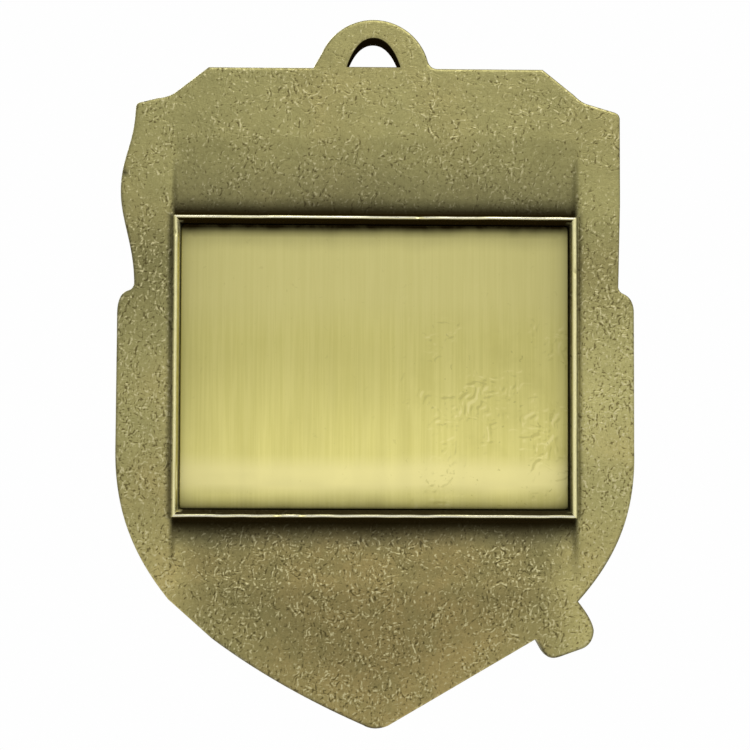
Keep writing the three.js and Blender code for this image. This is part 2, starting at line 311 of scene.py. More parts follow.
def back_surface(points):
    """Y of the back at each point, before the outer edge is rounded."""
    from_rim = rim_distance(points)
    wobble = 0.018 * rough(points, 2.6, 3) + 0.015 * rough(points, 0.9, 4)
    rim = np.interp(from_rim + wobble * (np.abs(from_rim) < 0.5), *zip(*RIM_PROFILE))
    rim = rim + 0.02 * (1 + rough(points, 3.4, 5)) * (rim < -1.7)
    for spot in RIM_NICKS:
        rim = rim + 0.18 * near_spot(points, spot, 0.04) * (rim < -1.2)
    beside = (np.abs(points[:, 0]) > POCKET_HALF) * smooth(16.2, 15.6, np.abs(points[:, 1] - FRAME_Z))
    groove = 0.25 * np.exp(-((from_rim - 0.45) / 0.14) ** 2)
    open_back = pocket_surface(points) + groove * beside
    open_back = open_back + 0.022 * rough(points, 7.0, 1, 2) + 0.014 * rough(points, 1.3, 2, 2)
    recess = RECESS_Y + 0.008 * rough(points, 2.0, 6)
    outside = np.where(from_rim < FOOT_REACH, np.minimum(rim, open_back), open_back)
    inside = np.where(from_rim < RECESS_REACH, recess, rim)
    return np.where(from_rim > 0, outside, inside)


# ---------------------------------------------------------------- the relief on the front

def pillow(inside, half, height):
    """A rounded swelling: height over the middle, falling to 0 at the edge."""
    t = np.clip(inside / half, 0, 1)
    return height * np.sqrt(np.clip(1 - (1 - t) ** 2, 0, 1))


def leaf_relief(points, x, z, angle):
    """One laurel leaf with a midrib, springing from (x, z); angle 0 points up."""
    up = np.array([math.sin(-angle), math.cos(-angle)])
    across = np.array([up[1], -up[0]])
    offset = points - (x, z)
    along, side = offset @ up, offset @ across
    t = np.clip(along / LEAF_LENGTH, 0, 1)
    half = LEAF_WIDTH * 2 * t * (1 - t) * 0.98
    inside = (half - np.abs(side)) * ((along > 0) & (along < LEAF_LENGTH))
    body = pillow(inside, np.maximum(half, 0.05), 0.34 + 0.22 * np.sin(math.pi * t))
    rib = 0.12 * np.exp(-(side / 0.13) ** 2) * (t < 0.92)
    veins = 0.03 * np.sin((along - 1.1 * np.abs(side)) * 9.0) * (inside > 0.2)
    return np.where(inside > 0, body + rib + veins + 0.06, 0)


def wreath_leaves():
    """Root and angle of every leaf, in pairs up the two branches."""
    leaves = []
    for side in (1, -1):
        for i in range(LEAF_PAIRS):
            turn = WREATH_START + i * WREATH_STEP
            x = side * WREATH_RADII[0] * math.cos(turn)
            z = WREATH_CENTRE_Z + WREATH_RADII[1] * math.sin(turn)
            leaves += [(x, z, side * (turn + way * LEAF_TURN)) for way in (-1, 1)]
    return leaves


def wreath_relief(points):
    """Two laurel branches, each a stem with its leaves."""
    height = np.zeros(len(points))
    for x, z, angle in wreath_leaves():
        near = np.abs(points - (x, z)).max(1) < 6.5
        height[near] = np.maximum(height[near], leaf_relief(points[near], x, z, angle))
    across = points[:, 0] / WREATH_RADII[0]
    upward = (points[:, 1] - WREATH_CENTRE_Z) / WREATH_RADII[1]
    bend, radius = np.arctan2(upward, np.abs(across)), np.hypot(across, upward)
    stem = pillow(0.42 - np.abs(radius - 1) * 19.0, 0.42, 0.3)
    return np.maximum(height, np.where((bend > -1.5) & (bend < 0.42), stem, 0))


def star_relief(points, x, z, radius):
    """A faceted five-pointed star."""
    corners = []
    for i in range(10):
        r = radius * (0.42 if i % 2 else 1)
        turn = math.pi / 2 + i * math.pi / 5
        corners.append((x + r * math.cos(turn), z + r * math.sin(turn)))
    inside = edge_distance(points, np.array(corners), 3.0)
    return np.where(inside > 0, 0.18 + np.minimum(inside * 0.62, 0.6), 0)


def banner_relief(points):
    """A blank arched ribbon with a raised hem and folded ends."""
    inner, outer = BANNER_RADII
    radius = np.hypot(points[:, 0], points[:, 1] - BANNER_CENTRE_Z)
    turn = np.arctan2(points[:, 0], BANNER_CENTRE_Z - points[:, 1])
    end = (BANNER_SWEEP - np.abs(turn)) * radius
    inside = np.minimum(np.minimum(radius - inner, outer - radius), end)
    flat = 0.66 * smooth(0.0, 0.28, inside)
    hem = 0.14 * np.exp(-((inside - 0.55) / 0.2) ** 2)
    wave = 0.12 * np.sin(np.clip(end / 3.2, 0, 1) * math.pi) * (end < 3.2)
    return np.where(inside > 0, flat + hem - wave, 0)


def torch_relief(points):
    """A fluted torch with rings round its handle and a lobed cup."""
    along = (points - BUTT) @ TORCH_AXIS
    side = (points - BUTT) @ TORCH_SIDE
    half = np.interp(
        along,
        [TORCH_ENDS[0], -1.5, 1.2, 1.9, 3.0, 36.5, 37.5, 39.4, 42.0, TORCH_ENDS[1]],
        [0.6, 2.0, 2.3, 2.0, 1.5, 2.6, 3.4, 4.8, 5.7, 5.8],
    )
    between = (along > TORCH_ENDS[0]) & (along < TORCH_ENDS[1])
    inside = np.where(between, half - np.abs(side), -1)
    body = pillow(inside, half, 1.0)
    grip = (along > 6.6) & (along < 34.8)
    flutes = 0.07 * np.cos(side / np.maximum(half, 0.1) * 3.6 * math.pi) * grip
    cup = (along > 38.2) & (along < 43.2)
    gadroons = 0.06 * np.cos(side / np.maximum(half, 0.1) * 5.0 * math.pi) * cup
    height = np.where(inside > 0, body + (flutes + gadroons) * smooth(0.1, 0.6, inside), 0)
    for middle, bulge in ((5.65, 0.42), (15.65, 0.4), (25.65, 0.4), (36.2, 0.5), (43.3, 0.4)):
        ring_half = np.interp(middle, [5, 36, 43], [2.05, 3.2, 6.1])
        ring = np.minimum(ring_half - np.abs(side), 0.62 - np.abs(along - middle))
        round_bar = np.sqrt(np.clip(1 - (side / (ring_half + 0.2)) ** 2, 0, 1))
        bead = round_bar * (0.72 + bulge) * smooth(0.0, 0.3, ring)
        height = np.maximum(height, np.where(ring > 0, bead, 0))
    return height


def torch_angle(points):
    """Direction of each point from the torch's mouth; 0 is straight up."""
    return np.arctan2(*(points - TORCH_MOUTH).T)


def flame_relief(points):
    """A low flame with one tongue raised on it, both streaked away from the torch's mouth."""
    outer = Path(-7.6, -26.0)
    outer.curve((-5.4, -21.0), (-9.9, -19.0), (-10.6, -14.6))
    outer.curve((-12.9, -16.6), (-13.7, -18.6), (-13.3, -20.8))
    outer.curve((-16.8, -17.8), (-19.4, -13.2), (-18.9, -8.3))
    outer.curve((-23.4, -10.6), (-26.0, -13.2), (-26.0, -16.4))
    outer.curve((-26.0, -20.4), (-22.2, -31.2), (-15.2, -33.6))
    tongue = Path(-10.4, -28.8)
    tongue.curve((-9.2, -23.8), (-17.2, -21.6), (-18.6, -13.8))
    tongue.curve((-22.8, -17.0), (-21.0, -27.0), (-13.6, -32.0))
    reach = np.hypot(*(points - TORCH_MOUTH).T)
    flow = 0.07 * np.sin(torch_angle(points) * 13.0 + reach * 0.34)
    low = edge_distance(points, outer.closed(), 3.0)
    high = edge_distance(points, tongue.closed(), 3.0)
    body = np.where(low > 0, pillow(low, 2.6, 0.72) + flow * smooth(0.2, 0.9, low), 0)
    crest = np.where(high > 0, 0.42 + pillow(high, 2.2, 0.8) + flow * smooth(0.2, 0.9, high), 0)
    return np.maximum(body, crest)


def front_level(points):
    """Top of the border and of the loop, which is a little lower."""
    return BORDER_Y + (LOOP_FRONT_Y - BORDER_Y) * smooth(TOP_Z + 0.2, TOP_Z + 0.6, points[:, 1])


def front_surface(points):
    """Y of the front at each point, before the outer edge is rounded."""
    border = front_level(points)
    in_field = edge_distance(points, field_outline(), 2.0)
    sunk = smooth(-0.05, 0.3, in_field)
    rays = 0.05 * np.abs(np.mod(torch_angle(points) * 36 / math.pi, 2) - 1)
    pebbles = 0.02 * rough(points, 0.8, 11)
    field = FIELD_Y + (rays + pebbles) * smooth(0.4, 0.8, in_field)
    bead = 0.1 * np.exp(-((in_field + 0.35) / 0.16) ** 2)
    ground = border + (field - border) * sunk + bead
    raised = np.maximum(wreath_relief(points), banner_relief(points))
    for x, z, radius in STARS:
        raised = np.maximum(raised, star_relief(points, x, z, radius))
    raised = np.maximum(raised, np.maximum(torch_relief(points), flame_relief(points)))
    relief = np.where(raised > 0, FIELD_Y + raised, -9)
    return np.maximum(ground, relief) + 0.012 * rough(points, 6.0, 12)


# ---------------------------------------------------------------- closed skins

# One face of a sheet: the spacing of its points, lines that the mesh follows, which of the
# spaced points are kept, and Y as a function of X and Z.
Side = namedtuple("Side", "step loops keep surface")


def outward_normals(polygon):
    """Unit normals of an outline in X and Z, pointing out of it."""
    chord = np.roll(polygon, -1, axis=0) - np.roll(polygon, 1, axis=0)
    normal = np.stack([chord[:, 1], -chord[:, 0]], 1)
    normal /= np.linalg.norm(normal, axis=1, keepdims=True)
    return normal if turns_left(polygon) else -normal


def turns_left(polygon):
    """Whether an outline runs anticlockwise in X and Z."""
    x, z = polygon.T
    return (x * np.roll(z, -1) - z * np.roll(x, -1)).sum() > 0


def edge_rings(polygon, radius, hole):
    """Insets of an outline that carry the rounded edge."""
    normals = outward_normals(polygon) * (1 if hole else -1)
    insets = [radius * (1 - math.cos(turn)) for turn in (0.5, 0.95, 1.3)]
    return [polygon + normals * inset for inset in [*insets, 1.25 * radius]]


def lattice(low, high, step):
    """A triangular grid of points."""
    rows = []
    rise = step * math.sqrt(3) / 2
    for row in range(int((high[1] - low[1]) / rise) + 1):
        x = np.arange(low[0] + (row % 2) * step / 2, high[0], step)
        rows.append(np.stack([x, np.full(len(x), low[1] + row * rise)], 1))
    return np.concatenate(rows)


def box_line(half_x, half_z, middle_z, radius, step):
    """A closed rectangle with rounded corners."""
    path = Path(half_x - radius, middle_z + half_z, step)
    for sx, sz, start in ((-1, 1, 0.5), (-1, -1, 1.0), (1, -1, 1.5), (1, 1, 2.0)):
        x, z = sx * (half_x - radius), middle_z + sz * (half_z - radius)
        turn = start * math.pi
        path.step = step
        path.line(x + radius * math.cos(turn), z + radius * math.sin(turn))
        path.step = max(0.4 * radius, 0.05)
        path.arc(x, z, radius, turn, turn + math.pi / 2)
    path.step = 0.1
    return path.closed()


def inside_margin(points, outlines, radii):
    """Distance to the nearest edge of the sheet, less that edge's rounding."""
    gaps = [edge_distance(points, outlines[0]) - radii[0]]
    gaps += [-edge_distance(points, hole) - r for hole, r in zip(outlines[1:], radii[1:])]
    return np.min(gaps, axis=0)


def triangulate(outlines, radii, side):
    """Points and triangles that fill the outline, with the outlines' own points first."""
    fill = lattice(outlines[0].min(0), outlines[0].max(0), side.step)
    fill = fill[inside_margin(fill, outlines, radii) > 0.06 + 0.4 * side.step]
    fill = fill[side.keep(fill)]
    loops = list(outlines)
    for i, (outline, radius) in enumerate(zip(outlines, radii)):
        loops += edge_rings(outline, radius, i > 0)
    loops += side.loops
    edges, first = [], 0
    for loop in loops:
        count = len(loop)
        edges += [(first + i, first + (i + 1) % count) for i in range(count)]
        first += count
    points = [Vector(p) for p in np.concatenate([*loops, fill])]
    weld = 1e-7  # points nearer than this are one point
    placed, _, triangles, *_ = delaunay_2d_cdt(points, edges, [], 0, weld, True)
    placed, triangles = np.array([tuple(v) for v in placed]), np.array(triangles)
    keep = inside_margin(placed[triangles].mean(1), outlines, [0] * len(outlines)) > SLIVER
    return placed, triangles[keep]


def edge_drop(points, outlines, radii):
    """How far the rounded edges fall away at each point."""
    drop = np.zeros(len(points))
    for i, (outline, radius) in enumerate(zip(outlines, radii)):
        gap = edge_distance(points, outline) * (-1 if i else 1)
        t = np.clip(1 - gap / radius, 0, 1)
        drop = np.maximum(drop, radius * (1 - np.sqrt(np.clip(1 - t * t, 0, 1))))
    return drop


def facing(points, triangles, towards_back):
    """Triangles wound to look towards -Y, or towards +Y."""
    a, b, c = points[triangles].transpose(1, 0, 2)
    area = (b[:, 0] - a[:, 0]) * (c[:, 1] - a[:, 1]) - (b[:, 1] - a[:, 1]) * (c[:, 0] - a[:, 0])
    wrong = (area < 0) if towards_back else (area > 0)
    turned = triangles.copy()
    turned[wrong] = triangles[wrong][:, ::-1]
    return turned


def wall_faces(outlines, rows):
    """Quads between rows of points that all follow the outlines."""
    faces, first = [], 0
    for i, outline in enumerate(outlines):
        backwards = turns_left(outline) != (i > 0)
        count = len(outline)
        for near, far in zip(rows, rows[1:]):
            for k in range(count):
                a, b = first + k, first + (k + 1) % count
                quad = (near[a], near[b], far[b], far[a])
                faces.append(quad[::-1] if backwards else quad)
        first += count
    return faces


def closed_skin(name, outlines, radii, back, front, wall, paints):
    """A closed mesh: a back and a front surface, joined by a wall along the outlines."""
    back_points, back_faces = triangulate(outlines, radii, back)
    front_points, front_faces = triangulate(outlines, radii, front)
    back_y = back.surface(back_points) + edge_drop(back_points, outlines, radii)
    front_y = front.surface(front_points) - edge_drop(front_points, outlines, radii)
    edge = np.concatenate(outlines)
    out = np.concatenate([outward_normals(o) * (-1 if i else 1) for i, o in enumerate(outlines)])
    shared = len(edge)

    levels = [(back_points, back_y), (front_points, front_y)]
    for share, ridge in wall:
        y = back_y[:shared] * (1 - share) + front_y[:shared] * share
        levels.append((edge + out * ridge, y))
    coords = [np.insert(flat, 1, y, axis=1) for flat, y in levels]
    after_back, after_front = len(back_points), len(back_points) + len(front_points)
    rows = [np.arange(shared)]
    rows += [after_front + k * shared + np.arange(shared) for k in range(len(wall))]
    rows.append(after_back + np.arange(shared))

    faces = facing(back_points, back_faces, True).tolist()
    faces += (facing(front_points, front_faces, False) + after_back).tolist()
    faces += [tuple(int(v) for v in quad) for quad in wall_faces(outlines, rows)]
    mesh = bpy.data.meshes.new(name)
    mesh.from_pydata((np.concatenate(coords) * MM).tolist(), [], faces)
    for layer, (on_back, on_front, on_wall) in paints.items():
        around = np.repeat(on_wall, [len(o) for o in outlines])
        values = [on_back(back_points), on_front(front_points), np.tile(around, len(wall))]
        target = mesh.attributes.new(layer, "FLOAT", "POINT")
        target.data.foreach_set("value", np.concatenate(values).astype(np.float32))
    mesh.shade_smooth()
    return mesh


def everywhere(value):
    """The same value at every point."""
    return lambda points: np.full(len(points), value)


def add_piece(mesh, material, body, node):
    """A visible piece that takes the place of one CAD node."""
    piece = bpy.data.objects.new(mesh.name, mesh)
    bpy.context.scene.collection.objects.link(piece)
    mesh.materials.append(material)
    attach(piece, body)
    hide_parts(node)


# ---------------------------------------------------------------- the casting

def framed_side(points):
    """Which side of the frame each point is nearest to: (left, right, above, below) masks."""
    x, z = points[:, 0], points[:, 1] - FRAME_Z
    upright = np.abs(x) - RIM_HALF[0] > np.abs(z) - RIM_HALF[1]
    return upright & (x < 0), upright & (x > 0), ~upright & (z > 0), ~upright & (z < 0)


def back_patina_and_shade(points):
    """Dark patina left against the rim and in the grooves beside it, painted shade down its walls and
    on the recess floor, and a painted shadow in the band under the rim.
    """
    from_rim = rim_distance(points) + 0.04 * rough(points, 1.7, 22)
    left, right, above, below = framed_side(points)
    upright = left | right
    gap = np.maximum(from_rim - RIM_HALF_WIDTH, 0) * (1 + 0.12 * rough(points, 5.0, 21))
    beside = np.where(left, 0.68 * smooth(0.56, 0.08, gap), 0.62 * smooth(0.42, 0.05, gap))
    over = 1 - 0.68 * smooth(0.1, 2.3, gap) - 0.32 * smooth(1.5, 7.0, gap)
    # Painted shadow: nearly black just under the rim, fading over a few millimetres.
    under = 0.99 - 0.99 * smooth(0.35, 3.7, gap)
    in_pocket = 1 - smooth(POCKET_HALF - 0.35, POCKET_HALF + 0.12, np.abs(points[:, 0]))
    outside = np.select([upright, above, below], [beside, over * in_pocket, under * in_pocket])
    step = np.exp(-((np.abs(points[:, 0]) - POCKET_HALF + 0.15) / 0.25) ** 2) * (1 - beside)
    depth = (pocket_surface(points * (0, 1)) - BACK_Y) / (POCKET_Y - BACK_Y)
    outside = np.maximum(outside, 0.07 * step * depth)

    down = smooth(-0.18, -0.6, from_rim)
    foot = smooth(-0.35, -0.62, from_rim)
    near_top = smooth(1.6, 0.7, FRAME_Z + RIM_HALF[1] - points[:, 1])
    left_wall = np.maximum(0.2 * foot, near_top * down)
    # Painted shade on the walls: darkest above and below, dark on the right, light on the left, as if
    # lit from the right.
    wall = np.select([left, right, above, below], [left_wall, 0.1 + 0.85 * down, 1, 0.95])
    floor = 0.45 + 0.2 * rough(points, 3.0, 23)
    floor += np.where(upright, 0, 0.4) * smooth(-2.0, -0.7, from_rim)
    inside = np.where(from_rim < -0.72, floor, wall)
    off_middle = np.abs(from_rim)
    off_crest = np.where(upright, smooth(0.12, 0.3, off_middle), smooth(0.05, 0.17, off_middle))
    framed = np.where(from_rim > 0, outside, inside) * off_crest
    return np.clip(np.maximum(framed, edge_darkening(points)), 0, 1)


def edge_darkening(points):
    """Darker in thin lines along parts of the outline, and in one small spot."""
    x, z = points.T
    gap = edge_distance(points, medal_outline(), 0.5)
    flame_side = 0.35 * smooth(-14.0, -16.0, z) * smooth(-50.0, -46.0, z)
    left = np.where(x < 1.0, flame_side + 0.8 * smooth(-60.5, -62.5, z), 0)
    right = 0.75 * smooth(16.5, 17.2, x) * smooth(-49.0, -51.0, z)
    line = (left + right) * smooth(0.34, 0.08, gap) * (0.75 + 0.25 * rough(points, 1.9, 28))
    nick = 0.9 * near_spot(points, EDGE_NICK, 0.12)
    return np.maximum(line, nick)


def rim_polish_and_highlight(points):
    """Rubbed metal with a painted highlight along the rim, spread down the left wall; past 1 it is a
    nearly white painted glint.
    """
    left, right, above, below = framed_side(points)
    narrow = above | below
    middle = np.select([left, right, above, below], [-0.27, -0.04, 0.02, 0.0])
    half = np.select([left, right, above, below], [0.42, 0.28, 0.14, 0.15])
    crest = smooth(1.0, 0.4, np.abs(rim_distance(points) - middle) / half)
    crest = crest * np.where(narrow, 1.75, 1.2)
    nicked = np.zeros(len(points))
    for spot in RIM_NICKS:
        nicked = np.maximum(nicked, near_spot(points, spot, 0.05))
    return crest * (0.9 + 0.09 * rough(points, 1.1, 24)) * (1 - 0.8 * nicked)


def eye_shade(points, elsewhere):
    """Painted shade inside the eye."""
    gap = -edge_distance(points, eye_outline(), 0.5)
    return np.maximum(elsewhere, smooth(0.1, 0.0, gap))


def casting_mesh():
    pocket_lines = [
        box_line(POCKET_HALF + offset, 20.5 + offset, POCKET_MIDDLE_Z, 0.1, 0.6)
        for offset in (-0.7, -0.5, -0.3, -0.1, 0.1)
    ]
    rim_lines = [rim_line(distance) for distance in RIM_RINGS]

    def off_lines(points):
        off_pocket = np.abs(np.abs(points[:, 0]) - POCKET_HALF + 0.3) > 0.65
        off_pocket |= np.abs(points[:, 1] - POCKET_MIDDLE_Z) > 21.0
        return (np.abs(rim_distance(points)) > 0.72) & off_pocket

    hollow = grid_cavity(front_surface)
    paints = {
        # On the back, patina with painted shade and shadow round the frame; on the front, patina in
        # the hollows; the outline's wall a little dark and the eye's wall fully dark as painted
        # shade.
        "patina_and_shade": (
            lambda p: eye_shade(p, back_patina_and_shade(p)),
            lambda p: eye_shade(p, smooth(0.02, 0.3, hollow(p))),
            [0.3, 1.0],
        ),
        # Painted highlight along the back's rim; rubbed high points on the front.
        "polish_and_highlight": (rim_polish_and_highlight, lambda p: smooth(0.05, 0.32, -hollow(p)), [0.0, 0.0]),
        # Painted light over the back; the front is one even level.
        "painted_light_tone": (back_painted_light, everywhere(1.2), [1.0, 1.0]),
        "warmth": (back_warmth, everywhere(0.3), [0.3, 0.3]),
        "crinkling": (back_crinkling, everywhere(0.7), [0.7, 0.7]),
    }
    return closed_skin(
        "medal_casting_skin",
        [medal_outline(), eye_outline()],
        [EDGE_RADIUS, EYE_EDGE_RADIUS],
        Side(BACK_STEP, rim_lines + pocket_lines, off_lines, back_surface),
        Side(FRONT_STEP, [], everywhere(True), front_surface),
        [(0.18, 0.0), (0.44, 0.0), (0.5, PARTING_RIDGE), (0.56, 0.0), (0.82, 0.0)],
        paints,
    )


def back_painted_light(points):
    """Painted light over the back: slow changes of brightness, brightest beside the frame's foot and
    more so on the right, with a little random variation.
    """
    x, z = points.T
    flank = smooth(17.0, 21.0, np.abs(x))
    painted_light_tone = 1.02 + 0.38 * smooth(-24.0, -14.0, z) + 0.42 * flank * smooth(-22.0, -34.0, z)
    painted_light_tone += (0.36 + 0.14 * np.sign(x)) * flank * np.exp(-((z + 39.0) / 8.0) ** 2)
    painted_light_tone += 0.16 * smooth(15.0, 21.0, x) * smooth(-12.0, -20.0, z)
    painted_light_tone += 0.16 * smooth(19.0, 22.0, np.abs(x)) * smooth(-44.0, -51.0, z)
    from_edge = edge_distance(points, medal_outline(), 7.0)
    painted_light_tone += 0.25 * smooth(6.0, 1.0, from_edge) * smooth(-50.0, -58.0, z)
    return painted_light_tone * (1 + 0.05 * rough(points, 9.0, 26, 2))


def back_crinkling(points):
    """How strongly the surface is crinkled: least on the loop, most on the lower flanks."""
    x, z = points.T
    flank = smooth(19.0, 22.0, np.abs(x)) * smooth(-14.0, -30.0, z)
    loop = smooth(-4.0, -2.0, z)
    return 0.82 + 0.12 * smooth(-47.0, -54.0, z) * (1 - flank) + 0.24 * flank - 0.2 * loop


def back_warmth(points):
    """Browner below the frame."""
    x, z = points.T
    warm = smooth(-46.0, -54.0, z) * np.exp(-(x / 17.0) ** 2)
    return np.clip(warm * 0.85 + 0.14 * (1 + rough(points, 6.0, 27, 2)), 0, 1)


def grid_cavity(surface):
    """How deep each place lies below its surroundings, as a function of points."""
    step, reach = 0.25, 4  # the grid's spacing, and the spread of the surroundings in cells
    low, high = np.array([-27.5, -72.0]), np.array([27.5, 3.0])
    nx, nz = ((high - low) / step).astype(int) + 1
    gx, gz = np.meshgrid(low[0] + np.arange(nx) * step, low[1] + np.arange(nz) * step)
    height = surface(np.stack([gx.ravel(), gz.ravel()], 1)).reshape(nz, nx)
    kernel = np.exp(-0.5 * (np.arange(-2 * reach, 2 * reach + 1) / reach) ** 2)
    kernel /= kernel.sum()
    wide = np.apply_along_axis(lambda line: np.convolve(line, kernel, "same"), 1, height)
    wide = np.apply_along_axis(lambda line: np.convolve(line, kernel, "same"), 0, wide)
    depth = wide - height

    def at(points):
        place = np.clip((points - low) / step, 0, [nx - 1.001, nz - 1.001])
        cell = place.astype(int)
        fx, fz = (place - cell).T
        x, z = cell.T
        bottom = depth[z, x] * (1 - fx) + depth[z, x + 1] * fx
        top = depth[z + 1, x] * (1 - fx) + depth[z + 1, x + 1] * fx
        return bottom * (1 - fz) + top * fz

    return at


# ---------------------------------------------------------------- the plate and its film

def sheet(name, node, corner, radius, steps, ripple, paints):
    """A thin rounded rectangle the size of a CAD node, with its two faces a little uneven."""
    low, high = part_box(node)
    half_x, half_z = (high.x - low.x) / 2 / MM, (high.z - low.z) / 2 / MM
    middle_z = (high.z + low.z) / 2 / MM
    near_y, far_y = low.y / MM, high.y / MM
    outline, *insets = (
        box_line(half_x - inset, half_z - inset, middle_z, corner, 0.5)
        for inset in (0, 0.3, 0.55, 0.9, 1.4)
    )

    def inner(points):
        gap = np.minimum(half_x - np.abs(points[:, 0]), half_z - np.abs(points[:, 1] - middle_z))
        return gap > 1.6

    def near_face(points):
        return near_y + ripple * (1 + rough(points, 7.0, 31, 2) / 1.5)

    def far_face(points):
        return far_y - ripple * (1 + rough(points, 5.0, 32, 2) / 1.5)

    near, far = Side(steps[0], insets, inner, near_face), Side(steps[1], insets, inner, far_face)
    return closed_skin(name, [outline], [radius], near, far, [(0.5, 0.0)], paints)


def plate_edges(points):
    """Distance of each point from the plate's left, right, top and bottom edges."""
    low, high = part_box("engraving_plate")
    x, z = points.T
    gaps = x - low.x / MM, high.x / MM - x, high.z / MM - z, z - low.z / MM
    return [np.maximum(gap, 0) for gap in gaps]


def plate_tarnish_and_shade(points):
    """Dark tarnish and painted shade on the plate's face along the rim: deepest above and below."""
    left, right, top, bottom = plate_edges(points)
    wobble = 1 + 0.07 * rough(points, 5.0, 33) + 0.07 * rough(points, 1.1, 35)
    lit = top * wobble + 0.1 * smooth(-8.0, 16.0, points[:, 0])
    light = 0.75 * smooth(0.25, 1.45, lit) + 0.25 * smooth(1.0, 3.0, lit)
    smudges = wobble + 0.22 * rough(points * (0.3, 1.4), 1.0, 36)
    light = np.minimum(light, 1 - 0.93 * np.exp(-bottom * smudges / 0.9))
    light *= 1 - 0.3 * np.exp(-left / 0.5)
    light *= 1 - 0.5 * np.exp(-right / 0.6)
    return 1 - light


def plate_painted_light(points):
    """Painted light and shade over the plate: slow changes of brightness, brighter towards the top,
    with painted shade towards its sides, most low on the right.
    """
    left, right, _, _ = plate_edges(points)
    painted_light_tone = np.interp(points[:, 1], [-33.0, -30.5, -26.0, -21.0], [1.0, 1.05, 1.1, 1.13])
    low = smooth(-38.0, -45.0, points[:, 1])
    right_side = (0.19 - 0.12 * low) * np.exp(-right / 4.5) + 0.3 * low * np.exp(-right / 1.0)
    return painted_light_tone * (1 - 0.2 * np.exp(-left / 4.5)) * (1 - right_side)


def plate_highlight(points):
    """Where a painted highlight lies on the plate: a band along its bottom, and a little at the top.
    """
    z = points[:, 1] + 0.25 * rough(points, 6.0, 34)
    return np.interp(
        z, [-48.0, -47.0, -46.0, -44.4, -42.6, -31.0, -27.0, -21.0], [0, 0.3, 1, 1, 0, 0, 0.4, 0.5]
    )


def plate_wear(points):
    """Handling dents, most of them low on the right."""
    x, z = points.T
    return 0.25 + 0.75 * smooth(0.0, 10.0, x) * smooth(-26.0, -34.0, z)


def plate_mesh():
    paints = {
        "patina_and_shade": (plate_tarnish_and_shade, everywhere(0.12), [0.4]),
        "painted_light_tone": (plate_painted_light, everywhere(1.0), [1.0]),
        "painted_highlight": (plate_highlight, everywhere(0.0), [0.0]),
        "wear": (plate_wear, everywhere(0.3), [0.0]),
    }
    mesh = sheet("engraving_plate_skin", "engraving_plate", 0.4, 0.12, (0.5, 0.8), 0.008, paints)
    low, high = (np.array(corner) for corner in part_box("engraving_plate"))
    places = np.array([tuple(v.co) for v in mesh.vertices])
    corners = np.array([loop.vertex_index for loop in mesh.loops])
    share = ((places - low) / (high - low))[corners][:, [0, 2]]
    mesh.uv_layers.new(name="brushing").data.foreach_set("uv", share.astype(np.float32).ravel())
    return mesh


def film_mesh():
    paints = {"edge": (everywhere(0.0), everywhere(0.0), [1.0])}
    return sheet("adhesive_film_skin", "adhesive_film", 1.0, 0.03, (0.7, 0.7), 0.006, paints)


# ---------------------------------------------------------------- materials

def colour(red, green, blue):
    """Linear colour from an sRGB one in 0 to 255."""
    def linear(value):
        value /= 255
        return value / 12.92 if value <= 0.04045 else ((value + 0.055) / 1.055) ** 2.4
    return (linear(red), linear(green), linear(blue), 1.0)


OLIVE = colour(137, 132, 87)
WARM_OLIVE = colour(150, 135, 87)
DULL_GREEN = colour(124, 120, 78)
RIDGE_HIGHLIGHT = colour(206, 198, 152)
GRAIN_DARK_AND_SHADE = colour(80, 72, 42)
RUBBED_AND_HIGHLIGHT = colour(250, 242, 182)
WHITE_GLINT = colour(236, 232, 212)
PATINA_AND_SHADE_COLOUR = colour(30, 22, 5)
BRASS = colour(216, 208, 127)
BRASS_LIGHT = colour(223, 215, 136)
BRASS_DULL = colour(196, 188, 110)
BRASS_HIGHLIGHT = colour(233, 224, 154)
BRASS_PIT_AND_SHADE = colour(172, 164, 94)
TARNISH_AND_SHADE = colour(26, 19, 5)
FILM = colour(222, 216, 196)
FILM_PALE = colour(238, 235, 222)
FILM_EDGE = colour(150, 140, 110)
FLOOR = colour(242, 242, 241)


MIX_INPUTS = (0, 6, 7)  # factor and the two colours of a Mix node, by place
MIX_RESULT = 2


